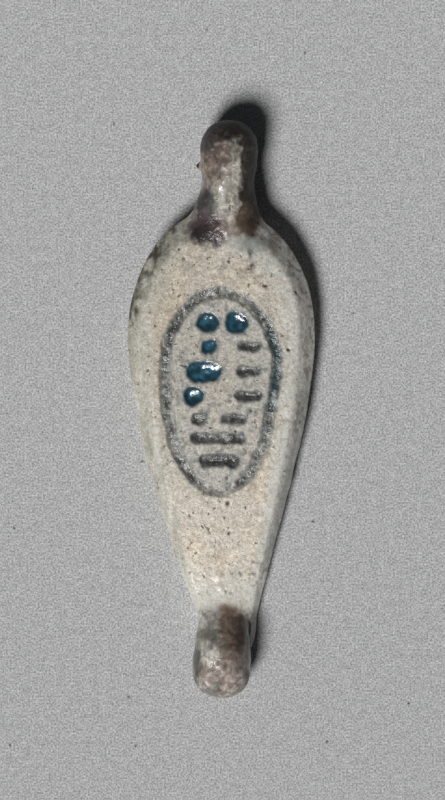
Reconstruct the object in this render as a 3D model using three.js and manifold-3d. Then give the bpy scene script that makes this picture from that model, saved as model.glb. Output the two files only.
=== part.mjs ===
import * as THREE from 'three';
import { mergeVertices } from 'three/addons/utils/BufferGeometryUtils.js';
import Module from 'manifold-3d';

// A petal bead of glazed faience, lying face up on its flat back. Millimetres, +Z up, +Y towards the
// upper loop, origin on the resting plane under the middle of the bead.
// Petal, loops and the paste that joins them were fired as one, so the bead is one solid.

// Whole bead
const overallLength = 44.0;

// Petal: widest line, shoulder above it, tail below it
const petalWidth = 14.3;
const petalTopRim = 2.4;         // height of the petal's widest line, its rim, at the top of the petal
const petalFlank = 1.45;         // how far the face stands over the rim where the petal is widest
const widestFromTop = 16.35;     // from the upper end of the bead to the widest line
const shoulderLength = 9.6;      // from the widest line up to the top of the petal
const tipWidth = 4.3;
const tipRim = 0.75;
const tipFlank = 0.8;
const tipSetback = 2.1;          // from the lower end of the bead back to the end of the tail
const tipRounding = 3.8;         // length over which the tail rounds off
const tipDrift = 0.5;            // the tail ends a little to the right of the middle
const flankStart = 0.83;         // where the face turns down into its sloping flanks, as a share of the way out
const flankSoftness = 0.25;      // how round that turn is
const faceCrown = 0.08;          // how far the face is domed, as a share of its height over the rim
const backSquareness = 12;       // a high power keeps the back wide
const backSag = 0.12;            // how far the back would bulge under the plane it was cut flat at

// Loops: a round bead across each end, bored from side to side for the thread
const upperLoop = { x: 0.55, diameter: 4.65 };
const lowerLoop = { x: 0.0, diameter: 4.2 };
const loopWidth = 4.4;
const loopSquareness = 2.15;
const loopLift = 0.15;           // clearance under the loops when the bead lies on its back
const threadBore = 1.6;
const boreLip = 0.25;            // rounding of the bore's two mouths

// Necks: the paste that carries each loop onto the petal, from the loop's middle to the neck's foot. Its
// top falls from the loop to the face between two shares of its length.
const neckDip = 0.15;            // the neck starts this far under the loop's crest
const neckLift = 0.8;            // height of the neck's underside
const upperNeck = { footX: 0.28, length: 7.5, loopWidth: 4.0, footWidth: 5.3, footRise: 0.14, fall: [0.1, 0.85] };
const lowerNeck = { footX: 0.1, length: 6.2, loopWidth: 4.1, footWidth: 3.35, footRise: 0.1, fall: [0.2, 0.9] };

// Oval ring sunk into the face
const ovalLength = 15.0;         // along the middle of the groove
const ovalWidth = 8.5;
const ovalTopShare = 0.38;       // share of the length that lies above the oval's widest line
const ovalTopFromEnd = 13.15;    // from the upper end of the bead to the top of the groove's middle line
const ovalLowerPower = 2.25;     // the ring is an ellipse above its widest line and slightly squarer below it
const ovalTuck = 0.28;           // the lower right of the ring lies this much nearer the middle
const grooveWidth = 0.9;
const grooveDepth = 0.34;

// Rows of short strokes sunk inside the oval, from the top row down. Each row's drop is from the top of
// the oval's middle line, and each stroke is its left end, its right end and its height.
const strokeDepth = 0.34;
const strokeRows = [
  { drop: 2.3, strokes: [[-1.95, -0.2, 1.3], [0.25, 2.0, 1.6]] },
  { drop: 4.1, strokes: [[-1.65, -0.3, 1.1], [1.2, 3.05, 0.7]] },
  { drop: 5.95, strokes: [[-2.7, 0.0, 1.7], [1.15, 3.05, 0.7]] },
  { drop: 7.85, strokes: [[-3.0, -1.35, 1.4], [1.0, 3.05, 0.8]] },
  { drop: 9.55, strokes: [[-2.35, -1.1, 0.8], [0.0, 1.85, 0.8]] },
  { drop: 11.05, strokes: [[-2.4, 1.85, 0.8]] },
  { drop: 12.8, strokes: [[-1.8, 1.4, 0.95]] },
];

// How finely the curved forms are faceted
const petalFacets = { around: 40, along: 48 };
const loopFacets = { around: 32, profile: 14 };
const neckFacets = { around: 24, along: 16 };
const grooveFacets = { around: 64, section: 10 };
const strokeFacets = { around: 12, caps: 2 };
const boreFacets = 20;

// Places that follow from the sizes above
const upperEnd = overallLength / 2;
const lowerEnd = -overallLength / 2;
const widestY = upperEnd - widestFromTop;
const tailEnd = lowerEnd + tipSetback;
const tipY = tailEnd + tipRounding;
const petalTop = widestY + shoulderLength;
const ovalTopY = upperEnd - ovalTopFromEnd;
const ovalWidestY = ovalTopY - ovalLength * ovalTopShare;
const boreRadius = threadBore / 2;

const wasm = await Module();
wasm.setup();

function smoothStep(from, to, value) {
  return THREE.MathUtils.smoothstep(value, from, to);
}

// A signed power, for superellipse sections
function signedPower(value, power) {
  return Math.sign(value) * Math.abs(value) ** power;
}

// How far a place has gone into a rounded end: 0 in the body, 1 at the very end
function endShare(y) {
  const share = y > widestY ? (y - widestY) / shoulderLength : (tipY - y) / tipRounding;
  return THREE.MathUtils.clamp(share, 0, 1);
}

// 0 at the widest line, 1 at the tip
function tailShare(y) {
  return THREE.MathUtils.clamp((widestY - y) / (widestY - tipY), 0, 1);
}

// 1 at the widest line, 0 at the tip: a cosine taper, slightly full below the widest line
function taperShare(y) {
  const taperPower = 0.85;
  return Math.cos((Math.PI / 2) * tailShare(y) ** taperPower);
}

// Half the petal's width before its ends round off
function bodyHalfWidth(y) {
  return THREE.MathUtils.lerp(tipWidth, petalWidth, taperShare(y)) / 2;
}

// Height of the rim over the resting plane, climbing from the tip to the top of the petal
function rimHeight(y) {
  return THREE.MathUtils.lerp(tipRim, petalTopRim, (y - tipY) / (petalTop - tipY));
}

// Height of the face's middle over the rim
function flankHeight(y) {
  return THREE.MathUtils.lerp(tipFlank, petalFlank, taperShare(y));
}

// The petal's middle line leans to the right towards the tip
function petalMiddleX(y) {
  const leanPower = 5;
  return tipDrift * tailShare(y) ** leanPower;
}

// How far out a place is: 0 on the middle line, 1 on the rim
function outwardShare(across, end) {
  return Math.min(1, Math.hypot(across * Math.sqrt(1 - end * end), end));
}

// 0 before the turn and then a straight climb, with the turn rounded off
function softHinge(value) {
  return (value + Math.hypot(value, flankSoftness)) / 2;
}

// Height share of the face over the rim: a shallow crown, then a straight flank down to 0
function faceShare(out) {
  const flank = softHinge((out - flankStart) / (1 - flankStart)) / softHinge(1);
  return (1 - flank) * (1 - faceCrown * out * out);
}

// Depth share of the back under the rim
function backShare(out) {
  return Math.sqrt(1 - out ** backSquareness);
}

// Height of the petal's face above the resting plane
function faceHeight(x, y) {
  const end = endShare(y);
  const halfWidth = bodyHalfWidth(y) * Math.sqrt(1 - end * end);
  const across = halfWidth > 0 ? Math.min(1, Math.abs(x - petalMiddleX(y)) / halfWidth) : 1;
  return rimHeight(y) + flankHeight(y) * faceShare(outwardShare(across, end));
}

// A closed form carried along Y. The rings of a sphere become its sections, and pointAt places each
// vertex from its share of the length, from -1 to 1, and its direction around the section.
function carriedForm(facets, pointAt) {
  const geometry = new THREE.SphereGeometry(1, facets.around, facets.along);
  const position = geometry.attributes.position;
  const point = new THREE.Vector3();
  for (let i = 0; i < position.count; i++) {
    point.fromBufferAttribute(position, i);
    const around = Math.atan2(-point.z, point.x);
    position.setXYZ(i, ...pointAt(point.y, around));
  }
  // three's sphere has -Z where this form has +Z, so its faces are turned round
  const order = geometry.index.array;
  for (let i = 0; i < order.length; i += 3) {
    [order[i + 1], order[i + 2]] = [order[i + 2], order[i + 1]];
  }
  return geometry;
}

// A closed mesh as a solid that can be joined and cut
function solidOf(geometry) {
  const bare = geometry.clone();
  bare.deleteAttribute('normal');
  bare.deleteAttribute('uv');
  const merged = mergeVertices(bare, 1e-4);
  const mesh = new wasm.Mesh({
    numProp: 3,
    vertProperties: Float32Array.from(merged.attributes.position.array),
    triVerts: Uint32Array.from(merged.index.array),
  });
  const solid = new wasm.Manifold(mesh);
  if (solid.volume() < 0) {
    throw new Error('a form is inside out');
  }
  return solid;
}

function geometryOf(solid) {
  const mesh = solid.getMesh();
  const geometry = new THREE.BufferGeometry();
  geometry.setAttribute('position', new THREE.BufferAttribute(mesh.vertProperties, 3));
  geometry.setIndex(new THREE.BufferAttribute(mesh.triVerts, 1));
  geometry.computeVertexNormals();
  return geometry;
}

// The petal: a flat face with sloping flanks over a back that is later cut flat
function petal() {
  const spreadPower = 5.4;       // crowds the section's points towards its flanks
  const middle = (petalTop + tailEnd) / 2;
  const reach = (petalTop - tailEnd) / 2;
  return carriedForm(petalFacets, (lengthShare, around) => {
    const y = middle + lengthShare * reach;
    const end = endShare(y);
    const across = signedPower(Math.cos(around), 2 / spreadPower);
    const x = petalMiddleX(y) + across * bodyHalfWidth(y) * Math.sqrt(1 - end * end);
    const rim = rimHeight(y);
    const out = outwardShare(across, end);
    const face = rim + flankHeight(y) * faceShare(out);
    const back = rim - (rim + backSag) * backShare(out);
    return [x, y, Math.sin(around) >= 0 ? face : back];
  });
}

// Where a loop's middle lies. side is 1 at the upper end and -1 at the lower end.
function loopPlace(loop, side) {
  return { y: side * (overallLength / 2 - loop.diameter / 2), z: loopLift + loop.diameter / 2 };
}

// One loop before it is bored: a round bead with its axis along X
function loopBead(loop, side) {
  const { y, z } = loopPlace(loop, side);
  const profile = [];
  for (let i = 0; i <= loopFacets.profile; i++) {
    const turn = Math.PI * (i / loopFacets.profile - 0.5);
    const closed = i % loopFacets.profile === 0;
    const radius = closed ? 0 : (loop.diameter / 2) * Math.cos(turn) ** (2 / loopSquareness);
    profile.push(new THREE.Vector2(radius, (loopWidth / 2) * signedPower(Math.sin(turn), 2 / loopSquareness)));
  }
  return new THREE.LatheGeometry(profile, loopFacets.around)
    .rotateZ(-Math.PI / 2)
    .translate(loop.x, y, z);
}

// The paste from a loop's middle onto the petal
function neck(size, loop, side) {
  const rounding = 0.2;          // share of the neck that rounds off at each end
  const loopY = loopPlace(loop, side).y;
  const footY = loopY - side * size.length;
  const crest = loopPlace(loop, side).z + loop.diameter / 2 - neckDip;
  const footFace = faceHeight(size.footX, footY + side * rounding * size.length);
  return carriedForm(neckFacets, (share, around) => {
    const run = (1 - share) / 2;
    const y = loopY - side * run * size.length;
    const end = Math.max(0, 1 - run / rounding, 1 - (1 - run) / rounding);
    const width = THREE.MathUtils.lerp(size.loopWidth, size.footWidth, smoothStep(0.3, 0.8, run));
    const top = THREE.MathUtils.lerp(crest, footFace + size.footRise, smoothStep(...size.fall, run));
    const closing = Math.sqrt(Math.max(0, 1 - end * end));
    const x = THREE.MathUtils.lerp(loop.x, size.footX, run);
    return [
      x + side * (width / 2) * closing * Math.cos(around),
      y,
      (top + neckLift) / 2 + ((top - neckLift) / 2) * closing * Math.sin(around),
    ];
  });
}

// What the thread takes away: a straight bore with a rounded lip at each mouth
function boreCutter(loop, side) {
  const { y, z } = loopPlace(loop, side);
  const lipSteps = 4;
  const mouthRadius = boreRadius + boreLip;
  const fullness = (mouthRadius / (loop.diameter / 2)) ** loopSquareness;
  const mouth = (loopWidth / 2) * (1 - fullness) ** (1 / loopSquareness);
  const reach = loopWidth;
  const half = [];
  for (let i = 0; i <= lipSteps; i++) {
    const turn = (Math.PI / 2) * (i / lipSteps);
    half.push([mouthRadius - boreLip * Math.cos(turn), mouth - boreLip * (1 - Math.sin(turn))]);
  }
  half.push([mouthRadius, reach], [0, reach]);
  const lower = half.map(([radius, along]) => new THREE.Vector2(radius, -along)).reverse();
  const upper = half.map(([radius, along]) => new THREE.Vector2(radius, along));
  return new THREE.LatheGeometry([...lower, ...upper], boreFacets)
    .rotateZ(-Math.PI / 2)
    .translate(loop.x, y, z);
}

// The oval ring: a torus laid out as an egg in plan, following the petal's face
function grooveCutter() {
  const geometry = new THREE.TorusGeometry(2, 1, grooveFacets.section, grooveFacets.around);
  const position = geometry.attributes.position;
  for (let i = 0; i < position.count; i++) {
    const turn = Math.atan2(position.getY(i), position.getX(i));
    const outward = Math.hypot(position.getX(i), position.getY(i)) - 2;
    const upper = Math.sin(turn) > 0;
    const length = ovalLength * (upper ? ovalTopShare : 1 - ovalTopShare);
    const power = upper ? 2 : ovalLowerPower;
    const across = signedPower(Math.cos(turn), 2 / power);
    const along = signedPower(Math.sin(turn), 2 / power);
    const normal = new THREE.Vector2(
      signedPower(across, power - 1) * length,
      signedPower(along, power - 1) * ovalWidth / 2,
    ).normalize();
    const evenX = across * ovalWidth / 2;
    const middleY = ovalWidestY + along * length;
    const middleX = evenX - ovalTuck * smoothStep(0, 3, ovalWidestY - middleY) * smoothStep(-1, 1, evenX);
    const x = middleX + normal.x * outward * grooveWidth / 2;
    const y = middleY + normal.y * outward * grooveWidth / 2;
    position.setXYZ(i, x, y, faceHeight(middleX, middleY) + position.getZ(i) * grooveDepth);
  }
  return geometry;
}

// One stroke: a capsule lying along X, flattened to its depth, centred on the petal's face
function strokeCutter([left, right, height], y) {
  const radius = height / 2;
  const x = (left + right) / 2;
  return new THREE.CapsuleGeometry(radius, right - left - height, strokeFacets.caps, strokeFacets.around)
    .rotateZ(Math.PI / 2)
    .scale(1, 1, strokeDepth / radius)
    .translate(x, y, faceHeight(x, y));
}

function strokeCutters() {
  return strokeRows.flatMap((row) => row.strokes.map((stroke) => strokeCutter(stroke, ovalTopY - row.drop)));
}

// Everything under the resting plane
function belowBack() {
  const depth = 4;
  return new THREE.BoxGeometry(2 * petalWidth, 2 * overallLength, depth).translate(0, 0, -depth / 2);
}

function petalBead() {
  const joined = [
    loopBead(upperLoop, 1),
    loopBead(lowerLoop, -1),
    neck(upperNeck, upperLoop, 1),
    neck(lowerNeck, lowerLoop, -1),
  ];
  const cut = [
    belowBack(),
    boreCutter(upperLoop, 1),
    boreCutter(lowerLoop, -1),
    grooveCutter(),
    ...strokeCutters(),
  ];
  const whole = joined.reduce((solid, form) => solid.add(solidOf(form)), solidOf(petal()));
  return cut.reduce((solid, form) => solid.subtract(solidOf(form)), whole);
}

const faience = new THREE.MeshStandardMaterial({ color: 0xc2b6a2, roughness: 0.42, metalness: 0 });

const bead = new THREE.Group();
const beadMesh = new THREE.Mesh(geometryOf(petalBead()), faience);
beadMesh.name = 'petal_bead';
bead.add(beadMesh);

export default bead;
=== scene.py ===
import bpy
import numpy as np
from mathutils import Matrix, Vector


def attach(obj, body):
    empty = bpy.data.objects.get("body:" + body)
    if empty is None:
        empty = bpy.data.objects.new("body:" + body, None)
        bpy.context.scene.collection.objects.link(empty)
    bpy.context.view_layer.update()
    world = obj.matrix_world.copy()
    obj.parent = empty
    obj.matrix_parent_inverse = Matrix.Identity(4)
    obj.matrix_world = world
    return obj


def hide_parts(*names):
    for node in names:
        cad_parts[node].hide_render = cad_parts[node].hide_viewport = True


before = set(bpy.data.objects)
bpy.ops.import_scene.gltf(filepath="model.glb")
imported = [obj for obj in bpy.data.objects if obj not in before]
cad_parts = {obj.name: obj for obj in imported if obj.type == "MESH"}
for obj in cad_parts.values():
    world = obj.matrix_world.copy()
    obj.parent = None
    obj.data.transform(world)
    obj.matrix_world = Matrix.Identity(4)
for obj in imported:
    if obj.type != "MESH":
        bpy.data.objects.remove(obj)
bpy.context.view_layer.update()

# A petal bead of glazed faience lying face up on its flat back.
# Sizes are in millimetres and turn into metres when a mesh is made.
metresPerMm = 0.001
tiny = 1e-6


# Number helpers, all for whole arrays

def smooth(low, high, value):
    t = np.clip((value - low) / (high - low), 0.0, 1.0)
    return t * t * (3.0 - 2.0 * t)


def mix(a, b, share):
    return a + (b - a) * share


def joinSoftly(a, b, reach):
    # the lesser of two distances, rounded over where they come within reach of each other
    h = np.clip(0.5 + 0.5 * (b - a) / reach, 0.0, 1.0)
    return mix(b, a, h) - reach * h * (1.0 - h)


def cloud(points, grain, seed):
    # random values on a cubic lattice of the given grain, eased between its corners: -1 to 1
    table = np.random.default_rng(seed).uniform(-1.0, 1.0, 8192)
    place = points / grain
    cell = np.floor(place).astype(np.int64)
    ease = place - cell
    ease = ease * ease * (3.0 - 2.0 * ease)
    total = np.zeros(len(points))
    for corner in np.ndindex(2, 2, 2):
        key = (cell + corner) * (73856093, 19349663, 83492791)
        weight = np.prod(np.where(corner, ease, 1.0 - ease), axis=1)
        total += weight * table[(key[:, 0] ^ key[:, 1] ^ key[:, 2]) & 8191]
    return total


def clouds(points, grain, seed, layers=3):
    # clouds of halving grain laid over each other
    total, weight = np.zeros(len(points)), 0.0
    for layer in range(layers):
        share = 0.5 ** layer
        total += share * cloud(points, grain * share, seed + layer)
        weight += share
    return total / weight * 1.5


# The bead's own shape

petal = {
    "width": 14.3, "widestY": 5.65, "shoulder": 9.6, "topRim": 2.4, "flank": 1.45,
    "tipWidth": 4.3, "tipY": -16.1, "tipRounding": 3.8, "tipDrift": 0.5, "tipRim": 0.75, "tipFlank": 0.8,
    "taperPower": 0.85, "driftPower": 5, "leastRim": 0.2,
    "flankStart": 0.83, "flankSoftness": 0.2, "faceCrown": 0.08,
    "backSquareness": 12.0, "backSag": 0.12, "leastSlope": 0.3,
}
upperLoop = {
    "x": 0.55, "y": 19.675, "z": 2.475, "radius": 2.325, "width": 4.4, "squareness": 2.15,
    "side": 1, "neck": 7.5, "neckWidth": 4.0, "footX": 0.28, "footWidth": 5.3, "footRise": 0.14,
    "fallFrom": 0.1, "fallTo": 0.85, "neckRounding": 0.2,
}
lowerLoop = {
    "x": 0.0, "y": -19.9, "z": 2.25, "radius": 2.1, "width": 4.4, "squareness": 2.15,
    "side": -1, "neck": 6.2, "neckWidth": 4.1, "footX": 0.1, "footWidth": 3.35, "footRise": 0.1,
    "fallFrom": 0.2, "fallTo": 0.9, "neckRounding": 0.2,
}
neckShape = {
    "dip": 0.2, "lift": 0.8, "widenFrom": 0.3, "widenTo": 0.8, "loopFillet": 0.7, "petalFillet": 0.45,
}


def tipShare(y):
    # 0 at the widest line, 1 at the tip
    return np.clip((petal["widestY"] - y) / (petal["widestY"] - petal["tipY"]), 0.0, 1.0)


def petalTaper(y):
    return np.cos(np.pi / 2 * tipShare(y) ** petal["taperPower"])


def petalMiddle(y):
    # the tip leans a little to one side
    return petal["tipDrift"] * tipShare(y) ** petal["driftPower"]


def petalHalf(y):
    return mix(petal["tipWidth"], petal["width"], petalTaper(y)) / 2


def petalEnd(y):
    # 0 along the middle of the petal, and up to 1 where an end rounds off
    above = (y - petal["widestY"]) / petal["shoulder"]
    below = (petal["tipY"] - y) / petal["tipRounding"]
    return np.maximum(0.0, np.maximum(above, below))


def petalOut(x, y):
    # how far out in plan: 0 in the middle, 1 on the outline
    return np.hypot((x - petalMiddle(y)) / petalHalf(y), petalEnd(y))


def petalHeights(y):
    # the rim over the table, and the face over the rim
    climb = (y - petal["tipY"]) / (petal["widestY"] + petal["shoulder"] - petal["tipY"])
    rim = mix(petal["tipRim"], petal["topRim"], climb)
    flank = mix(petal["tipFlank"], petal["flank"], petalTaper(y))
    return rim, flank


def faceShare(out):
    # height over the rim as a share: a shallow crown, then a straight flank. The hinge between them is
    # (t + sqrt(t * t + softness * softness)) / 2, with t from 0 where the flank starts to 1 at the rim.
    soft, run = petal["flankSoftness"], 1.0 - petal["flankStart"]
    t = (out - petal["flankStart"]) / run
    flank = (t + np.hypot(t, soft)) / (1.0 + np.hypot(1.0, soft))
    slope = 0.5 * (1.0 + t / np.hypot(t, soft)) / (0.5 * (1.0 + np.hypot(1.0, soft))) / run
    return (1.0 - flank) * (1.0 - petal["faceCrown"] * out ** 2), slope


def petalDistance(x, y, z):
    # over the rim the petal ends where lift = faceShare(out), and under it where
    # out ** backSquareness + lift ** 2 = 1. Out is how far out in plan, lift how far up or down from the
    # rim. What is left over, divided by its own slope, is about the distance to the skin.
    half, end = petalHalf(y), petalEnd(y)
    endLength = np.where(y > petal["widestY"], petal["shoulder"], petal["tipRounding"])
    rim, flank = petalHeights(y)
    rim = np.maximum(rim, petal["leastRim"])
    across = np.abs(x - petalMiddle(y)) / half
    out = np.hypot(across, end) + tiny
    spread = np.hypot(across / half, end / endLength) / out
    lift = (z - rim) / np.where(z > rim, flank, rim + petal["backSag"])
    share, steep = faceShare(out)
    over = (lift - share) / np.hypot(steep * spread, 1.0 / flank)
    power = petal["backSquareness"]
    level = out ** power + lift ** 2 - 1.0
    slope = np.hypot(power * out ** (power - 1.0) * spread, 2.0 * lift / (rim + petal["backSag"]))
    return np.where(z > rim, over, level / np.maximum(slope, petal["leastSlope"]))


def faceHeight(x, y):
    # the petal's upper face over the table
    rim, flank = petalHeights(y)
    return rim + flank * faceShare(np.minimum(1.0, petalOut(x, y)))[0]


def loopDistance(x, y, z, loop):
    # a round bead with its axis along X: around ** s + along ** s = 1
    around = np.hypot(y - loop["y"], z - loop["z"]) / loop["radius"]
    along = np.abs(x - loop["x"]) / (loop["width"] / 2)
    gauge = (around ** loop["squareness"] + along ** loop["squareness"]) ** (1.0 / loop["squareness"])
    return (gauge - 1.0) * loop["radius"]


def neckDistance(x, y, z, loop):
    # an ellipse carried from the loop's middle, run 0, down to the neck's foot, run 1
    run = loop["side"] * (loop["y"] - y) / loop["neck"]
    rounding = loop["neckRounding"]
    end = np.maximum(0.0, np.maximum(1.0 - run / rounding, 1.0 - (1.0 - run) / rounding))
    footY = loop["y"] - loop["side"] * loop["neck"] * (1.0 - rounding)
    footTop = faceHeight(np.array(loop["footX"]), np.array(footY)) + loop["footRise"]
    crest = loop["z"] + loop["radius"] - neckShape["dip"]
    top = mix(crest, footTop, smooth(loop["fallFrom"], loop["fallTo"], run))
    widening = smooth(neckShape["widenFrom"], neckShape["widenTo"], run)
    wide = mix(loop["neckWidth"], loop["footWidth"], widening) / 2
    tall = (top - neckShape["lift"]) / 2
    middleX = mix(loop["x"], loop["footX"], np.clip(run, 0.0, 1.0))
    gauge = np.sqrt(((x - middleX) / wide) ** 2 + ((z - top + tall) / tall) ** 2 + end ** 2)
    return (gauge - 1.0) * tall


def loopAndNeck(x, y, z, loop):
    return joinSoftly(loopDistance(x, y, z, loop), neckDistance(x, y, z, loop), neckShape["loopFillet"])


def beadDistance(x, y, z):
    body = petalDistance(x, y, z)
    for loop in (upperLoop, lowerLoop):
        body = joinSoftly(body, loopAndNeck(x, y, z, loop), neckShape["petalFillet"])
    return body


# the skin's grid: rows along the bead, points around it, and how thinly the back is counted
skin = {
    "halfLength": 22.0, "along": 380, "around": 250, "endCrowding": 0.06, "backShare": 0.3,
    "backFrom": -1.7, "backTo": -0.6, "samples": 480, "farthest": 9.0, "halvings": 26,
}
# the line inside the bead that every section is measured from, and where along the bead it turns to
# each loop
spineLine = {
    "lowZ": 0.75, "upperX": (9.0, 18.0), "lowerX": (-15.0, -19.0), "upperZ": (-15.0, 18.5),
    "lowerZ": (-11.0, -18.5),
}


def spine(y):
    x = mix(petalMiddle(y), upperLoop["x"], smooth(*spineLine["upperX"], y))
    x = mix(x, lowerLoop["x"], smooth(*spineLine["lowerX"], y))
    z = mix(spineLine["lowZ"], upperLoop["z"], smooth(*spineLine["upperZ"], y))
    z = mix(z, lowerLoop["z"], smooth(*spineLine["lowerZ"], y))
    return x, z


def skinReach(y, turn):
    # how far the skin lies from the spine in direction turn, by halving the stretch that holds it
    x0, z0 = spine(y)
    near, far = np.zeros_like(turn), np.full_like(turn, skin["farthest"])
    for _ in range(skin["halvings"]):
        middle = (near + far) / 2
        outside = beadDistance(x0 + middle * np.cos(turn), y, z0 + middle * np.sin(turn)) > 0.0
        far = np.where(outside, middle, far)
        near = np.where(outside, near, middle)
    return (near + far) / 2


def skinGrid():
    # Parameter one runs along the bead, two around it. Rows crowd together at the two rounded ends, and
    # points crowd on the face: each row is shared out by its own length, the back counted thinly.
    rows, cols = skin["along"] - 1, skin["around"]
    t = np.arange(1, rows + 1) / (rows + 1) * 2.0 - 1.0
    crowding = skin["endCrowding"]
    y = skin["halfLength"] * ((1.0 - crowding) * t + crowding * np.sin(np.pi / 2 * t))
    first = -np.pi / 2 + np.arange(skin["samples"] + 1) / skin["samples"] * 2.0 * np.pi
    yGrid, turn = np.meshgrid(y, first, indexing="ij")
    reach = skinReach(yGrid, turn)
    x = reach * np.cos(turn)
    z = reach * np.sin(turn)
    length = np.hypot(np.diff(x, axis=1), np.diff(z, axis=1))
    level = (z[:, 1:] + z[:, :-1]) / 2
    weight = mix(skin["backShare"], 1.0, smooth(skin["backFrom"], skin["backTo"], level))
    gone = np.concatenate([np.zeros((rows, 1)), np.cumsum(length * weight, axis=1)], axis=1)
    gone /= gone[:, -1:]
    # one interp for all rows: each row's shares, 0 to 1, are set apart from the next row's by 2
    wanted = np.arange(cols) / cols
    apart = np.arange(rows)[:, None] * 2.0
    turn = np.interp((apart + wanted).ravel(), (apart + gone).ravel(), turn.ravel()).reshape(rows, cols)
    yGrid = np.repeat(y[:, None], cols, axis=1)
    reach = skinReach(yGrid, turn)
    x0, z0 = spine(yGrid)
    return np.stack([x0 + reach * np.cos(turn), yGrid, z0 + reach * np.sin(turn)], axis=2)


# What is sunk into the face

oval = {
    "x": -0.05, "topY": 8.85, "length": 15.0, "width": 8.5, "topShare": 0.38, "lowerPower": 2.25,
    "tuck": 0.28,   # the lower right of the ring lies this much nearer the middle
    "groove": 0.9, "grooveDepth": 0.2, "strokeDepth": 0.25, "poolDepth": 0.24, "pitDepth": 0.24,
}
# rows of short strokes, from the top row down: drop from the oval's top, then left end, right end,
# height and the glaze that lies in each
strokeRows = [
    (2.3, [(-1.95, -0.2, 1.3, "blue"), (0.25, 2.0, 1.6, "blue")]),
    (4.1, [(-1.65, -0.3, 1.1, "blue"), (1.2, 3.05, 0.7, "grey")]),
    (5.95, [(-2.7, 0.0, 1.7, "blue"), (1.15, 3.05, 0.7, "grey")]),
    (7.85, [(-3.0, -1.35, 1.4, "blue"), (1.0, 3.05, 0.8, "grey")]),
    (9.55, [(-2.35, -1.1, 0.8, "grey"), (0.0, 1.85, 0.8, "grey")]),
    (11.05, [(-2.4, 1.85, 0.8, "grey")]),
    (12.8, [(-1.8, 1.4, 0.95, "grey")]),
]


def wander(points, amount, grain, seed):
    # the places moved a little sideways, so that drawn edges look made by hand
    sideways = [clouds(points, grain, seed), clouds(points, grain, seed + 50), np.zeros(len(points))]
    return points + amount * np.stack(sideways, axis=1)


def ringPlaces(points):
    return wander(points, 0.1, 0.7, 11)


def strokePlaces(points):
    return wander(wander(points, 0.16, 0.8, 17), 0.07, 0.3, 19)


def grooveDistance(points):
    # distance from the middle line of the oval ring: half an ellipse above its widest line, and half a
    # slightly squarer one below it, where across ** power + along ** power = 1
    x = points[:, 0] - oval["x"]
    y = points[:, 1] - (oval["topY"] - oval["length"] * oval["topShare"])
    x = x + oval["tuck"] * smooth(0.0, -3.0, y) * smooth(-1.0, 1.0, x)
    wide = oval["width"] / 2
    tall = np.where(y > 0, oval["length"] * oval["topShare"], oval["length"] * (1 - oval["topShare"]))
    power = np.where(y > 0, 2.0, oval["lowerPower"])
    across, along = np.abs(x / wide) + tiny, np.abs(y / tall) + tiny
    gauge = (across ** power + along ** power) ** (1.0 / power)
    steep = np.hypot(across ** (power - 1.0) / wide, along ** (power - 1.0) / tall)
    return (gauge - 1.0) / (steep * gauge ** (1.0 - power))


def strokesAway(points, glaze):
    # for each stroke with this glaze, the distance from its middle line, and half its height
    for drop, strokes in strokeRows:
        for left, right, height, kind in strokes:
            if kind == glaze:
                half = height / 2
                straight = (right - left) / 2 - half
                dx = np.maximum(0.0, np.abs(points[:, 0] - (left + right) / 2) - straight)
                yield np.hypot(dx, points[:, 1] - (oval["topY"] - drop)), half


def strokeShare(points, glaze):
    # 0 on the middle line of the nearest stroke and 1 at its edge
    return np.minimum.reduce([away / half for away, half in strokesAway(points, glaze)])


def strokeDistance(points, glaze):
    # distance from the nearest stroke's edge, less than 0 inside
    return np.minimum.reduce([away - half for away, half in strokesAway(points, glaze)])


# pits in the face: place and radius
pits = [
    (0.48, -7.16, 0.2), (3.22, 9.37, 0.14), (-2.42, -8.15, 0.1), (-1.43, -8.92, 0.1), (-0.9, -9.37, 0.1),
    (0.55, -9.45, 0.1), (0.4, -5.26, 0.09), (1.09, -1.68, 0.08), (2.23, -0.15, 0.1), (0.63, 0.61, 0.08),
    (-2.72, 3.28, 0.1), (5.66, 8.84, 0.11), (-2.88, 11.43, 0.09), (-1.35, -12.73, 0.08), (0.32, -13.87, 0.08),
    (5.05, 4.5, 0.16), (-3.65, 9.1, 0.09), (1.45, 11.6, 0.08), (-1.58, 14.55, 0.09), (0.2, -8.2, 0.09),
]


def pitShare(points):
    # 1 in the middle of a pit, 0 outside
    share = np.zeros(len(points))
    for x, y, radius in pits:
        away = np.hypot(points[:, 0] - x, points[:, 1] - y) / radius
        share = np.maximum(share, 1.0 - smooth(0.35, 1.25, away))
    return share


bubble = {"x": -1.2, "y": 2.6, "radius": 0.31, "lip": 0.05, "lipWidth": 0.09}   # burst in the largest pool
sandGrain = {"place": (-1.72, 18.5, 2.5), "size": 0.24, "height": 0.45}         # stuck to the upper loop


def grainShare(points):
    return np.exp(-np.sum((points - sandGrain["place"]) ** 2, axis=1) / sandGrain["size"] ** 2)


# lumps of thicker glaze that catch the light: place, radius, height
lumps = [
    (0.22, 17.3, 0.3, 0.07), (-0.2, 16.85, 0.42, 0.07), (0.3, 16.2, 0.5, 0.05), (-0.3, 13.9, 0.25, 0.07),
    (0.35, 13.4, 0.22, 0.06), (-0.25, -12.75, 0.32, 0.15), (-0.1, -13.55, 0.26, 0.12),
    (0.6, -13.1, 0.45, 0.05), (-0.75, -19.0, 0.25, 0.06), (-0.3, -19.3, 0.2, 0.06),
    (0.1, -19.6, 0.2, 0.05), (-1.0, -18.4, 0.4, 0.06), (1.4, 11.9, 0.5, 0.05), (0.75, -19.9, 0.6, 0.06),
]


def lumpHeight(points):
    total = np.zeros(len(points))
    for x, y, radius, height in lumps:
        away = np.hypot(points[:, 0] - x, points[:, 1] - y) / radius
        total += height * np.exp(-away ** 2)
    return total


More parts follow.
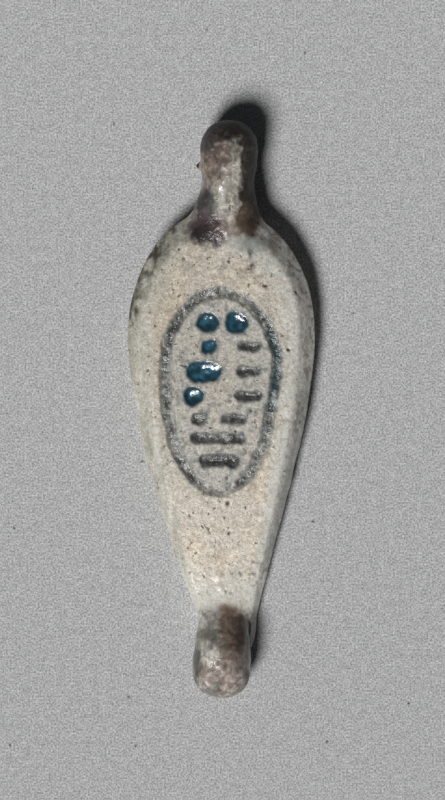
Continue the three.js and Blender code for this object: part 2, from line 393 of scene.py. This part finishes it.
sandyPart = {"upper": (14.0, 12.0), "lower": (-13.0, -11.0)}   # where along the bead the skin is sandy
broadClouds = [(0.07, 4.5, 31, 2), (0.035, 1.4, 41, 2)]        # height, grain, seed and layers
fineClouds = {"smooth": 0.02, "sandy": 0.014, "grain": 0.5, "seed": 51}
sandClouds = {"height": 0.012, "grain": 0.26, "seed": 57}


def sunkDepth(points):
    uneven = 1.0 + 0.35 * cloud(points, 0.7, 21)
    reach = oval["groove"] / 2 * (1.0 + 0.25 * cloud(points, 0.9, 15))
    groove = np.abs(grooveDistance(ringPlaces(points))) / reach
    sunk = oval["grooveDepth"] * uneven * np.sqrt(np.clip(1.0 - groove ** 2, 0.0, 1.0))
    loose = strokePlaces(points)
    pool = np.clip(1.0 - strokeShare(loose, "blue") ** 2, 0.0, 1.0)
    sunk = np.maximum(sunk, oval["poolDepth"] * pool * (1.0 + 0.3 * cloud(points, 0.5, 23)))
    stroke = np.clip(1.0 - strokeShare(loose, "grey") ** 2, 0.0, 1.0)
    sunk = np.maximum(sunk, oval["strokeDepth"] * uneven * np.sqrt(stroke))
    sunk = np.maximum(sunk, oval["pitDepth"] * pitShare(points))
    away = np.hypot(points[:, 0] - bubble["x"], points[:, 1] - bubble["y"]) - bubble["radius"]
    return sunk - bubble["lip"] * np.exp(-(away / bubble["lipWidth"]) ** 2)


def unevenness(points):
    sandy = smooth(*sandyPart["upper"], points[:, 1]) * smooth(*sandyPart["lower"], points[:, 1])
    total = np.zeros(len(points))
    for height, grain, seed, layers in broadClouds:
        total += height * clouds(points, grain, seed, layers)
    fine = mix(fineClouds["smooth"], fineClouds["sandy"], sandy)
    fine = fine * clouds(points, fineClouds["grain"], fineClouds["seed"], 2)
    sand = sandClouds["height"] * sandy * cloud(points, sandClouds["grain"], sandClouds["seed"])
    return total + (fine + sand)


def relief(points, normals):
    # millimetres that the skin moves along its normal
    face = smooth(0.55, 0.85, normals[:, 2])
    back = smooth(0.25, 0.0, points[:, 2])
    lift = sandGrain["height"] * grainShare(points) + lumpHeight(points) * smooth(0.3, 0.6, normals[:, 2])
    return unevenness(points) * (1.0 - back) - sunkDepth(points) * face + lift


# Meshes

def meshObject(name, points, faces):
    mesh = bpy.data.meshes.new(name)
    mesh.from_pydata((points * metresPerMm).tolist(), [], faces)
    mesh.update()
    piece = bpy.data.objects.new(name, mesh)
    bpy.context.scene.collection.objects.link(piece)
    return piece


def closedGridFaces(rows, cols, poleA, poleB):
    # quads between the rows, and a fan from each pole to the row beside it
    index = np.arange(rows * cols).reshape(rows, cols)
    nextCol = np.roll(index, -1, axis=1)
    quads = np.stack([index[:-1], index[1:], nextCol[1:], nextCol[:-1]], axis=2).reshape(-1, 4)
    fanA = np.stack([np.full(cols, poleA), index[0], nextCol[0]], axis=1)
    fanB = np.stack([np.full(cols, poleB), nextCol[-1], index[-1]], axis=1)
    return quads.tolist() + fanA.tolist() + fanB.tolist()


def gridNormals(grid):
    # across both parameters' directions, and out of the bead
    along = np.gradient(grid, axis=0)
    around = np.roll(grid, -1, axis=1) - np.roll(grid, 1, axis=1)
    normal = np.cross(along, around)
    return normal / np.maximum(np.linalg.norm(normal, axis=2, keepdims=True), tiny)


bore = {
    "radius": 0.8, "flare": 0.28, "flareLength": 0.5, "mouth": 1.95, "reach": 3.2, "steps": 64, "sides": 64,
}


def boreCutter(loop):
    # a profile turned about X: straight through, flaring at both mouths, and not quite round
    along = np.linspace(-bore["reach"], bore["reach"], bore["steps"] + 1)
    out = np.clip((np.abs(along) - bore["mouth"] + bore["flareLength"]) / bore["flareLength"], 0.0, 1.6)
    radius = bore["radius"] + bore["flare"] * out ** 2
    turn = np.arange(bore["sides"]) / bore["sides"] * 2.0 * np.pi
    alongGrid, turnGrid = np.meshgrid(along, turn, indexing="ij")
    radiusGrid = radius[:, None] * (1.0 + 0.03 * np.sin(2.0 * turnGrid + 0.7) + 0.02 * np.sin(3.0 * turnGrid))
    grid = np.stack([
        loop["x"] + alongGrid,
        loop["y"] + radiusGrid * np.cos(turnGrid),
        loop["z"] + radiusGrid * np.sin(turnGrid),
    ], axis=2)
    rows, cols = grid.shape[:2]
    ends = [[loop["x"] + side * bore["reach"], loop["y"], loop["z"]] for side in (-1, 1)]
    points = np.concatenate([grid.reshape(-1, 3), ends])
    return meshObject("boreCutter", points, closedGridFaces(rows, cols, rows * cols, rows * cols + 1))


def cutAway(piece, cutter):
    modifier = piece.modifiers.new("threadHole", "BOOLEAN")
    modifier.operation = "DIFFERENCE"
    modifier.solver = "EXACT"
    modifier.object = cutter
    depsgraph = bpy.context.evaluated_depsgraph_get()
    cut = bpy.data.meshes.new_from_object(piece.evaluated_get(depsgraph))
    old = piece.data
    piece.modifiers.clear()
    piece.data = cut
    bpy.data.meshes.remove(old)
    cutterMesh = cutter.data
    bpy.data.objects.remove(cutter)
    bpy.data.meshes.remove(cutterMesh)


def makeBead():
    grid = skinGrid()
    rows, cols = grid.shape[:2]
    points, normals = grid.reshape(-1, 3), gridNormals(grid).reshape(-1, 3)
    points = points + normals * relief(points, normals)[:, None]
    points[:, 2] = np.maximum(points[:, 2], 0.0)
    lowEnd = [lowerLoop["x"], -skin["halfLength"], lowerLoop["z"]]
    highEnd = [upperLoop["x"], skin["halfLength"], upperLoop["z"]]
    points = np.concatenate([points, [lowEnd, highEnd]])
    piece = meshObject("petalBead", points, closedGridFaces(rows, cols, rows * cols, rows * cols + 1))
    cutAway(piece, boreCutter(upperLoop))
    cutAway(piece, boreCutter(lowerLoop))
    piece.data.name = "petalBead"
    piece.data.shade_smooth()
    return piece


bead = makeBead()
print("bead skin:", len(bead.data.polygons), "faces")


# Colour laid on the skin

palette = {
    "cream": (194, 187, 175), "warm": (205, 192, 174), "stone": (150, 144, 132), "ash": (196, 196, 190),
    "milk": (205, 203, 195), "moss": (150, 148, 134), "tan": (158, 138, 116), "umber": (76, 63, 56),
    "rust": (88, 73, 62), "dusk": (42, 39, 36), "smoke": (106, 109, 108), "slate": (50, 51, 51),
    "teal": (40, 80, 98), "deep": (26, 50, 62), "azure": (62, 116, 138), "bone": (164, 159, 150),
    "black": (28, 25, 22), "olive": (98, 95, 84), "sage": (118, 118, 107), "glass": (154, 157, 151),
    "blush": (156, 142, 135), "mud": (113, 101, 91), "plum": (68, 58, 60), "haze": (132, 127, 120),
    "pond": (34, 57, 63), "pearl": (166, 165, 160), "clay": (136, 117, 105),
}
lightOnFlat = 0.74   # how bright a level white face looks under the studio lights


def patch(points, x, y, wide, tall, soft=0.4, seed=0):
    # a blot with a torn edge: 1 inside, 0 outside
    away = np.hypot((points[:, 0] - x) / wide, (points[:, 1] - y) / tall)
    away = away + 0.22 * clouds(points, 0.9, 300 + seed) + 0.22 * clouds(points, 0.3, 400 + seed, 2)
    return 1.0 - smooth(1.0 - soft, 1.0 + soft, away)


# blots of glaze on the loops and round them, with some painted shade and one painted shadow among them:
# colour, middle, half sizes, strength, softness
blots = [
    ("haze", (-0.66, 17.45), (0.6, 0.5), 0.5, 0.6),
    ("mud", (-0.72, 18.55), (0.95, 1.1), 0.9, 0.5),
    ("umber", (-0.02, 19.6), (0.85, 1.05), 1.0, 0.4),
    ("umber", (-0.35, 18.5), (0.3, 0.8), 0.7, 0.5),
    ("mud", (-1.1, 19.1), (0.3, 0.25), 0.6, 0.6),
    ("sage", (0.97, 19.6), (0.6, 0.7), 0.85, 0.5),
    # partly dark glaze and partly painted shade on the upper loop's far end, which faces away from the lamp
    ("dusk", (0.6, 22.2), (3.2, 1.95), 1.0, 0.2),
    ("slate", (-1.15, 20.2), (0.75, 0.85), 1.0, 0.4),
    ("black", (0.17, 20.55), (0.5, 0.35), 0.7, 0.5),
    ("blush", (0.2, 20.1), (0.3, 0.22), 0.7, 0.6),
    ("blush", (-0.3, 20.0), (0.18, 0.14), 0.6, 0.6),
    ("plum", (-0.17, 17.85), (0.22, 0.32), 0.85, 0.5),
    ("dusk", (2.15, 16.9), (0.72, 5.0), 1.0, 0.3),
    ("umber", (1.75, 18.4), (0.25, 1.0), 0.5, 0.6),
    ("slate", (-1.2, 15.3), (0.75, 1.5), 1.0, 0.45),
    ("sage", (0.1, 16.0), (1.0, 0.9), 0.3, 0.6),
    ("plum", (-1.15, 13.7), (1.35, 1.35), 0.95, 0.4),
    ("dusk", (-1.6, 13.2), (0.8, 0.7), 0.7, 0.5),
    ("plum", (-0.2, 13.0), (0.6, 0.6), 0.75, 0.5),
    ("blush", (0.35, 13.7), (0.5, 0.8), 0.6, 0.6),
    ("rust", (1.8, 14.2), (0.85, 1.15), 0.95, 0.45),
    ("dusk", (2.3, 14.6), (0.4, 1.0), 0.5, 0.5),
    ("rust", (1.1, 13.2), (0.5, 0.4), 0.6, 0.6),
    ("glass", (2.2, 12.5), (1.5, 0.6), 0.85, 0.5),
    ("milk", (-0.2, -16.0), (2.2, 1.3), 0.8, 0.5),
    ("clay", (0.45, -15.5), (0.6, 0.7), 0.8, 0.5),
    ("clay", (0.85, -16.9), (1.1, 1.8), 0.95, 0.4),
    ("umber", (1.45, -17.3), (0.45, 1.4), 0.75, 0.6),
    ("umber", (0.5, -17.9), (0.5, 0.3), 0.5, 0.6),
    ("sage", (-1.0, -17.2), (0.9, 0.65), 0.8, 0.5),
    # painted shade: the white glaze of the petal's right flank beside the lower neck, greyed as if in shade
    ("haze", (2.23, -16.4), (0.4, 1.0), 0.8, 0.5),
    ("milk", (-0.95, -18.5), (0.75, 0.85), 0.75, 0.5),
    ("mud", (0.78, -18.9), (0.7, 0.65), 0.85, 0.5),
    ("blush", (0.6, -20.1), (0.95, 1.1), 0.85, 0.5),
    ("blush", (-0.93, -20.1), (0.6, 0.6), 0.85, 0.5),
    ("umber", (-0.32, -20.45), (0.55, 0.4), 0.7, 0.5),
    ("olive", (-0.36, -21.05), (0.4, 0.38), 0.8, 0.5),
    ("smoke", (-1.05, -21.3), (0.5, 0.4), 0.7, 0.5),
    ("dusk", (-1.9, -19.3), (0.36, 1.25), 0.75, 0.6),
    ("haze", (1.85, -19.5), (0.35, 1.1), 0.8, 0.5),
    # painted shadow in the recess where the lower neck meets the loop on the right
    ("black", (2.13, -17.8), (0.24, 0.6), 0.9, 0.5),
]


class Coat:
    # what is laid on the skin: colour as it looks lit, how glassy each place is, and how rough its relief
    def __init__(self, points, normals):
        self.points, self.normals = points, normals
        self.small = clouds(points, 0.8, 71)
        self.out = np.clip(petalOut(points[:, 0], points[:, 1]), 0.0, 1.3)
        self.face = smooth(0.4, 0.7, normals[:, 2])
        self.mottle = clouds(points, 0.4, 141)
        self.colour = np.full(points.shape, palette["cream"], float)
        self.glassy = np.full(len(points), 0.2)
        self.grainy = np.full(len(points), 0.55)

    def lay(self, name, share, gloss=None, rough=None):
        # share says how thickly the colour covers each place, 0 to 1
        share = np.clip(share, 0.0, 1.0)
        self.colour = mix(self.colour, np.array(palette[name], float), share[:, None])
        if gloss is not None:
            self.glassy = mix(self.glassy, gloss, share)
        if rough is not None:
            self.grainy = mix(self.grainy, rough, share)

    def brighten(self, share):
        self.colour = self.colour * (1.0 + share)[:, None]

    def ofGrain(self, grain, seed, layers=3):
        return clouds(self.points, grain, seed, layers)


def paintPaste(coat):
    # the upper part and the left are greyer, the sides smoother, the glaze thick towards the lower end
    points, small, out, lay = coat.points, coat.small, coat.out, coat.lay
    x, y = points[:, 0], points[:, 1]
    lay("warm", smooth(-0.2, 0.9, coat.ofGrain(3.2, 61) + 0.4 * small))
    lay("stone", 0.2 * smooth(-9.0, 6.0, y) + 0.2 * smooth(0.0, -6.0, x) * smooth(-8.0, 0.0, y))
    coat.brighten(0.03 * smooth(-5.0, -9.0, y))
    lay("ash", smooth(0.6, 0.76, out + 0.06 * small) * 0.85 * smooth(-2.0, 1.0, x), 0.55, 0.2)
    lay("ash", smooth(0.72, 0.85, out + 0.06 * small) * 0.6 * smooth(1.0, -2.0, x), 0.4, 0.3)
    streak = clouds(points * (1.0, 0.16, 1.0), 0.5, 95)
    lay("moss", smooth(0.7, 0.92, out + 0.1 * small) * (0.4 + 0.5 * streak) * smooth(1.0, -3.0, x), 0.4)
    lay("stone", smooth(0.6, 1.0, out) * smooth(0.1, 0.7, streak) * 0.35)
    lay("milk", smooth(-11.0, -14.0, y + 0.8 * small) * 0.7, 0.75, 0.12)
    lay("tan", smooth(0.15, 0.8, coat.ofGrain(0.5, 91)) * 0.35 * (1.0 - coat.glassy))
    lay("stone", smooth(0.2, 0.8, coat.ofGrain(0.28, 93, 2)) * 0.4 * (1.0 - coat.glassy))
    lay("sage", smooth(0.45, 0.9, coat.ofGrain(0.9, 98)) * 0.3 * smooth(-9.0, 0.0, y))
    sandy = cloud(points, 0.22, 81)
    coat.colour = coat.colour + ((11.0 * sandy + 6.0 * small) * (1.15 - coat.glassy))[:, None]


def paintDirtAndShade(coat):
    # dirt along the left shoulder, a dark line along its outer edge, dirt on the right flank and in a patch
    # by the lower right edge, and painted shade on the right flank's outer edge
    points, small, out, lay = coat.points, coat.small, coat.out, coat.lay
    x, y, z = points.T
    shoulder = smooth(0.78, 0.92, out) * smooth(6.5, 9.0, y) * smooth(-1.5, -3.0, x)
    lay("moss", shoulder * smooth(-0.5, 0.4, small) * 0.9)
    lay("olive", shoulder * smooth(-0.1, 0.5, coat.ofGrain(0.45, 97)) * 0.7)
    # a dark line along the outer edge of the upper left flank
    edge = smooth(0.9, 1.0, out + 0.08 * small) * smooth(4.5, 7.5, y) * smooth(-1.0, -2.5, x)
    edge = edge * smooth(0.2, 1.6, z) * smooth(-0.4, 0.3, clouds(points * (1.0, 0.5, 1.0), 0.5, 101))
    lay("dusk", edge * 0.8)
    flank = smooth(0.1, 0.6, coat.ofGrain(0.34, 99)) * smooth(0.8, 0.93, out) * smooth(0.0, 2.0, x)
    lay("mud", flank * smooth(-9.0, 2.0, y) * 0.75)
    lay("mud", patch(points, 2.4, -12.4, 1.1, 0.9, 0.6, 60) * smooth(-0.1, 0.5, coat.ofGrain(0.3, 59)) * 0.8)
    # painted shade: the right flank's outer edge darkened, as it faces away from the lamp
    lay("smoke", smooth(0.84, 0.95, out) * smooth(2.0, 3.0, x + 0.2 * (5.0 + y)) * smooth(4.0, 1.0, y) * 0.4)
    lay("mud", patch(points, 3.9, 12.3, 0.35, 0.7, 0.5, 61) * 0.5)
    lay("slate", patch(points, 3.1, 12.6, 0.6, 0.5, 0.5, 62) * smooth(0.0, 0.5, coat.ofGrain(0.3, 96)) * 0.7)


def paintLoops(coat):
    # dark glaze over a pale core, with painted shade and a duller glaze where the loop turns away from the
    # lamp
    points, normals, small, lay = coat.points, coat.normals, coat.small, coat.lay
    x, y, z = points.T
    onLoops = np.maximum(smooth(12.9, 14.4, y), smooth(-14.9, -15.8, y)) * smooth(0.0, 0.4, z - 0.5)
    onLoops = onLoops * np.where(y > 0, smooth(0.0, 0.25, z - faceHeight(x, y) + 0.1), 1.0)
    lay("bone", onLoops, 0.85, 0.2)
    spotted = wander(points, 0.2, 0.5, 121)
    for index, (name, (bx, by), (wide, tall), strength, soft) in enumerate(blots):
        lay(name, patch(spotted, bx, by, wide, tall, soft, index) * strength, 0.9)
    # painted shade: dark dusk laid where the loops' sides turn over, strongest on the upper loop's sides away
    # from the lamp
    unlit = smooth(-0.35, 0.25, normals[:, 0] + 0.6 * np.sign(y) * normals[:, 1])
    turnedAwayShade = smooth(0.86, 0.5, normals[:, 2] + 0.12 * small) * unlit * onLoops
    lay("dusk", turnedAwayShade * np.where(y > 0, 0.95, 0.2), 0.25, 0.1)
    coat.brighten(onLoops * (0.22 * cloud(spotted, 0.3, 183) + 0.12 * cloud(points, 0.17, 184)))
    streaked = patch(points, -0.45, 18.9, 1.2, 1.9, 0.4, 72)
    lay("umber", smooth(0.0, 0.5, cloud(spotted, 0.33, 185)) * streaked * 0.75)
    lay("blush", smooth(0.35, 0.7, cloud(spotted, 0.28, 186)) * streaked * 0.7)
    veins = 1.0 - np.abs(clouds(spotted, 0.5, 181))
    lay("umber", smooth(0.8, 0.98, veins) * onLoops * 0.35)
    lay("bone", smooth(0.35, 0.8, clouds(spotted, 0.34, 191)) * onLoops * 0.16)
    crusts = patch(points, -0.6, 13.6, 1.3, 1.1, 0.5, 70) + patch(points, -0.5, -19.2, 0.8, 0.8, 0.5, 71)
    coat.grainy = mix(coat.grainy, 1.0, np.clip(crusts, 0.0, 1.0) * 0.8)
    dull = smooth(14.3, 15.0, y) * (1.0 - np.exp(-((y - 16.9) / 0.65) ** 2)) + smooth(-19.7, -20.2, y)
    coat.glassy = coat.glassy * (1.0 - 0.7 * dull * onLoops)


def paintRing(coat):
    # the sunk ring holds mottled grey glaze, darker at the top, and stands round a greyer ground
    points, face, mottle, lay = coat.points, coat.face, coat.mottle, coat.lay
    x, y = points[:, 0], points[:, 1]
    away = grooveDistance(wander(ringPlaces(points), 0.1, 0.3, 131))
    lay("pearl", smooth(0.3, -0.5, away) * face * 0.55)
    lay("smoke", smooth(0.3, -0.3, away) * smooth(0.1, 0.7, coat.ofGrain(0.33, 143, 2)) * face * 0.55)
    away = np.abs(away)
    faint = patch(points, 1.5, 8.1, 1.3, 0.9, 0.5, 40) + patch(points, -0.2, -6.2, 1.1, 0.6, 0.5, 41)
    clear = 1.0 - 0.5 * np.clip(faint, 0.0, 1.0)
    lay("smoke", smooth(0.7, 0.15, away) * (0.85 + 0.35 * mottle) * face * clear, 0.7, 1.0)
    upward = smooth(2.5, 6.5, y)
    torn = smooth(-0.4 - 0.5 * upward, 0.4 - 0.3 * upward, mottle)
    lay("slate", smooth(mix(0.36, 0.5, upward), 0.08, away) * torn * face * 0.75 * clear, 0.9)
    frost = smooth(0.3, 0.55, coat.ofGrain(0.2, 145, 2)) * smooth(0.45, 0.25, away)
    lay("milk", frost * face * 0.6)
    blueSide = smooth(3.0, 3.6, x) * smooth(-0.8, 0.4, y) * smooth(6.6, 5.2, y)
    lay("pond", smooth(0.42, 0.15, away) * face * blueSide * (0.6 + 0.4 * mottle), 0.9, 0.8)


def paintStrokes(coat):
    # grey glaze in the grey strokes, and blue glass in the others with a grey halo
    points, face, mottle, lay = coat.points, coat.face, coat.mottle, coat.lay
    loose = strokePlaces(points)
    away = strokeDistance(loose, "grey")
    lay("smoke", smooth(0.28, -0.1, away) * face * (0.75 + 0.4 * mottle), 0.6, 1.0)
    lay("slate", smooth(0.08, -0.25, away) * face * (0.75 + 0.3 * mottle), 0.9)
    lay("pearl", smooth(0.35, 0.75, coat.ofGrain(0.28, 147, 2)) * smooth(0.0, -0.15, away) * face * 0.45)
    away = strokeDistance(loose, "blue")
    lay("smoke", smooth(0.3, 0.0, away) * face * 0.6, 0.8, 0.5)
    lay("deep", smooth(0.12, -0.16, away) * face * 0.96, 1.0, 0.3)
    lay("teal", smooth(0.0, -0.35, away) * face * smooth(-0.5, 0.5, coat.ofGrain(0.5, 171)), 1.0)
    lay("azure", smooth(-0.1, -0.35, away) * face * smooth(0.1, 0.8, coat.ofGrain(0.35, 173)) * 0.6)


def paintPits(coat):
    # dirt in the pits, and the stuck grain of sand
    wobble = wander(ringPlaces(coat.points), 0.1, 0.3, 131)
    coat.lay("black", pitShare(wobble) * coat.face * 0.85, 0.1)
    coat.lay("black", smooth(0.15, 0.5, grainShare(coat.points)), 0.2)


def paintBead(points, normals):
    coat = Coat(points, normals)
    for paint in (paintPaste, paintDirtAndShade, paintLoops, paintRing, paintStrokes, paintPits):
        paint(coat)
    return np.clip(coat.colour, 4.0, 250.0), np.clip(coat.glassy, 0.0, 1.0), np.clip(coat.grainy, 0.0, 1.0)


def toLinear(values):
    # screen values, 0 to 255, to light, by the usual screen curve
    values = values / 255.0
    return np.where(values <= 0.04045, values / 12.92, ((values + 0.055) / 1.055) ** 2.4)


def vertexArrays(mesh):
    count = len(mesh.vertices)
    points = np.empty(count * 3, np.float32)
    normals = np.empty(count * 3, np.float32)
    mesh.vertices.foreach_get("co", points)
    mesh.vertex_normals.foreach_get("vector", normals)
    return points.reshape(-1, 3).astype(float) / metresPerMm, normals.reshape(-1, 3).astype(float)


def layColour(piece, painter):
    points, normals = vertexArrays(piece.data)
    colour, glassy, grainy = painter(points, normals)
    rgba = np.ones((len(points), 4), np.float32)
    rgba[:, :3] = np.clip(toLinear(colour) / lightOnFlat, 0.0, 0.95)
    layer = piece.data.attributes.new("glazeColour", "FLOAT_COLOR", "POINT")
    layer.data.foreach_set("color", rgba.ravel())
    for name, values in (("glassiness", glassy), ("graininess", grainy)):
        layer = piece.data.attributes.new(name, "FLOAT", "POINT")
        layer.data.foreach_set("value", values.astype(np.float32))


layColour(bead, paintBead)
print("colour laid on")


# Materials

class Nodes:
    # a short way to write a node tree
    def __init__(self, name):
        self.material = bpy.data.materials.new(name)
        self.material.use_nodes = True
        self.tree = self.material.node_tree
        self.tree.nodes.clear()
        self.output = self.add("ShaderNodeOutputMaterial")
        self.surface = self.add("ShaderNodeBsdfPrincipled")
        self.link(self.surface.outputs["BSDF"], self.output.inputs["Surface"])

    def add(self, kind, **settings):
        node = self.tree.nodes.new(kind)
        for key, value in settings.items():
            setattr(node, key, value)
        return node

    def link(self, source, target):
        self.tree.links.new(source, target)

    def objectPlace(self):
        return self.add("ShaderNodeTexCoord").outputs["Object"]

    def attribute(self, name, output="Fac"):
        return self.add("ShaderNodeAttribute", attribute_name=name).outputs[output]

    def noise(self, place, scale, detail=3.0, roughness=0.6):
        node = self.add("ShaderNodeTexNoise")
        node.inputs["Scale"].default_value = scale
        node.inputs["Detail"].default_value = detail
        node.inputs["Roughness"].default_value = roughness
        self.link(place, node.inputs["Vector"])
        return node.outputs["Fac"]

    def math(self, operation, a, b=None):
        node = self.add("ShaderNodeMath", operation=operation)
        for socket, value in zip(node.inputs, (a, b)):
            if value is None:
                continue
            if isinstance(value, (int, float)):
                socket.default_value = value
            else:
                self.link(value, socket)
        return node.outputs[0]

    def grey(self, value):
        node = self.add("ShaderNodeCombineColor")
        for name in ("Red", "Green", "Blue"):
            self.link(value, node.inputs[name])
        return node.outputs["Color"]

    def span(self, value, low, high, toLow, toHigh):
        node = self.add("ShaderNodeMapRange")
        node.clamp = True
        self.link(value, node.inputs["Value"])
        for name, number in (("From Min", low), ("From Max", high), ("To Min", toLow), ("To Max", toHigh)):
            node.inputs[name].default_value = number
        return node.outputs["Result"]

    def blend(self, share, a, b, kind="MIX"):
        node = self.add("ShaderNodeMix", data_type="RGBA", blend_type=kind)
        factor, first, second = node.inputs[0], node.inputs[6], node.inputs[7]
        for socket, value in ((factor, share), (first, a), (second, b)):
            if isinstance(value, (int, float, tuple)):
                socket.default_value = value
            else:
                self.link(value, socket)
        return node.outputs[2]


faience = {
    "sandScale": 4300.0, "fineSandScale": 9000.0, "grainScale": 6500.0, "rippleScale": 1900.0,
    "speckScale": 2600.0, "tornScale": 9500.0, "speckColour": (0.085, 0.062, 0.045, 1.0),
    "dryRoughness": 0.62, "glassRoughness": 0.22, "dryCoat": 0.08, "glassCoat": 0.9,
    "coatRoughness": 0.12, "ior": 1.5, "bumpMetres": 0.00012,
}


def glazedFaience():
    m = Nodes("glazedFaience")
    place = m.objectPlace()
    glassy = m.attribute("glassiness")
    rough = m.math("SUBTRACT", 1.0, glassy)
    colour = m.attribute("glazeColour", "Color")

    # sand in the paste: a fine light and dark grain, stronger where the glaze is thin
    fineSand = m.span(m.noise(place, faience["fineSandScale"], 2.0, 0.7), 0.3, 0.7, 0.72, 1.28)
    sand = m.span(m.noise(place, faience["sandScale"], 2.0, 0.7), 0.3, 0.7, 0.74, 1.26)
    sanded = m.blend(1.0, colour, m.grey(m.math("MULTIPLY", sand, fineSand)), "MULTIPLY")
    colour = m.blend(m.span(rough, 0.0, 0.8, 0.35, 1.0), colour, sanded)

    # scattered brown and black specks, torn by a finer noise
    torn = m.math("MULTIPLY", m.noise(place, faience["tornScale"], 1.0), 0.35)
    specks = m.math("ADD", m.noise(place, faience["speckScale"], 1.0, 0.5), torn)
    speck = m.span(specks, 0.865, 0.9, 0.0, 0.8)
    speck = m.math("MULTIPLY", speck, m.span(rough, 0.25, 0.7, 0.0, 1.0))
    colour = m.blend(speck, colour, faience["speckColour"])
    m.link(colour, m.surface.inputs["Base Color"])

    roughness = m.span(glassy, 0.2, 1.0, faience["dryRoughness"], faience["glassRoughness"])
    m.link(roughness, m.surface.inputs["Roughness"])
    clearCoat = m.span(glassy, 0.3, 1.0, faience["dryCoat"], faience["glassCoat"])
    m.link(clearCoat, m.surface.inputs["Coat Weight"])
    m.surface.inputs["Coat Roughness"].default_value = faience["coatRoughness"]
    m.surface.inputs["IOR"].default_value = faience["ior"]

    # relief finer than the mesh: grains, and fine ripples in the glaze
    fine = m.noise(place, faience["grainScale"], 3.0, 0.6)
    ripple = m.noise(place, faience["rippleScale"], 2.0, 0.5)
    bump = m.add("ShaderNodeBump")
    bump.inputs["Distance"].default_value = faience["bumpMetres"]
    m.link(m.attribute("graininess"), bump.inputs["Strength"])
    m.link(m.math("ADD", m.math("MULTIPLY", fine, 0.5), ripple), bump.inputs["Height"])
    m.link(bump.outputs["Normal"], m.surface.inputs["Normal"])
    m.link(bump.outputs["Normal"], m.surface.inputs["Coat Normal"])
    return m.material


bead.data.materials.clear()
bead.data.materials.append(glazedFaience())
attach(bead, "root")
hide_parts("petal_bead")
print("bead glazed")


# Floor, lights and camera

paper = {
    "half": 0.6, "colour": (0.553, 0.556, 0.562, 1.0), "roughness": 0.9, "specular": 0.2,
    "fibreScale": 7000.0, "driftScale": 1500.0, "crumbScale": 85.0, "raggedScale": 5000.0,
}


def greyPaper():
    m = Nodes("greyPaper")
    place = m.objectPlace()
    fibre = m.span(m.noise(place, paper["fibreScale"], 2.0, 0.8), 0.25, 0.75, 0.28, 1.72)
    drift = m.span(m.noise(place, paper["driftScale"], 3.0), 0.3, 0.7, 0.9, 1.1)

    # a few dark crumbs with ragged edges, and a little more light towards the top
    crumbs = m.add("ShaderNodeTexVoronoi", voronoi_dimensions="2D")
    crumbs.inputs["Scale"].default_value = paper["crumbScale"]
    m.link(place, crumbs.inputs["Vector"])
    ragged = m.span(m.noise(place, paper["raggedScale"], 1.0), 0.3, 0.7, -0.006, 0.006)
    fleck = m.span(m.math("ADD", crumbs.outputs["Distance"], ragged), 0.004, 0.013, 0.35, 1.0)
    axes = m.add("ShaderNodeSeparateXYZ")
    m.link(place, axes.inputs["Vector"])
    upward = m.span(axes.outputs["Y"], -0.03, 0.03, 1.0, 1.06)
    tone = m.math("MULTIPLY", m.math("MULTIPLY", m.math("MULTIPLY", fibre, drift), fleck), upward)
    m.link(m.blend(1.0, paper["colour"], m.grey(tone), "MULTIPLY"), m.surface.inputs["Base Color"])
    m.surface.inputs["Roughness"].default_value = paper["roughness"]
    m.surface.inputs["Specular IOR Level"].default_value = paper["specular"]
    return m.material


def makeFloor():
    half = paper["half"]
    corners = [(-half, -half, 0), (half, -half, 0), (half, half, 0), (-half, half, 0)]
    mesh = bpy.data.meshes.new("paperFloor")
    mesh.from_pydata(corners, [], [(0, 1, 2, 3)])
    floor = bpy.data.objects.new("paperFloor", mesh)
    bpy.context.scene.collection.objects.link(floor)
    mesh.materials.append(greyPaper())


# one broad lamp from the lower left, and a little bluish light from all round
keyLight = {
    "from": (-0.42, -0.70, 1.0), "metres": 2.4, "diameter": 0.84, "watts": 50.8,
    "colour": (1.0, 0.995, 0.985),
}
air = {"colour": (0.9, 0.95, 1.0, 1.0), "strength": 0.026}


def makeStudio():
    lamp = bpy.data.lights.new("keyLight", "AREA")
    lamp.shape = "DISK"
    lamp.size = keyLight["diameter"]
    lamp.energy = keyLight["watts"]
    lamp.color = keyLight["colour"]
    holder = bpy.data.objects.new("keyLight", lamp)
    place = Vector(keyLight["from"]).normalized() * keyLight["metres"]
    holder.location = place
    holder.rotation_euler = (-place).to_track_quat("-Z", "Y").to_euler()
    bpy.context.scene.collection.objects.link(holder)

    world = bpy.data.worlds.new("studioAir")
    world.use_nodes = True
    background = world.node_tree.nodes["Background"]
    background.inputs["Color"].default_value = air["colour"]
    background.inputs["Strength"].default_value = air["strength"]
    bpy.context.scene.world = world
    bpy.context.scene.view_settings.view_transform = "Standard"
    bpy.context.scene.view_settings.look = "None"


# the camera looks straight down
plumb = {"place": (0.00006, 0.00069, 0.256), "lens": 150.0, "sensor": 36.0, "nearest": 0.01}


def makeCamera():
    lens = bpy.data.cameras.new("plumbCamera")
    lens.lens = plumb["lens"]
    lens.sensor_width = plumb["sensor"]
    lens.clip_start = plumb["nearest"]
    camera = bpy.data.objects.new("plumbCamera", lens)
    camera.location = plumb["place"]
    bpy.context.scene.collection.objects.link(camera)
    bpy.context.scene.camera = camera


makeFloor()
makeStudio()
makeCamera()
print("studio ready")
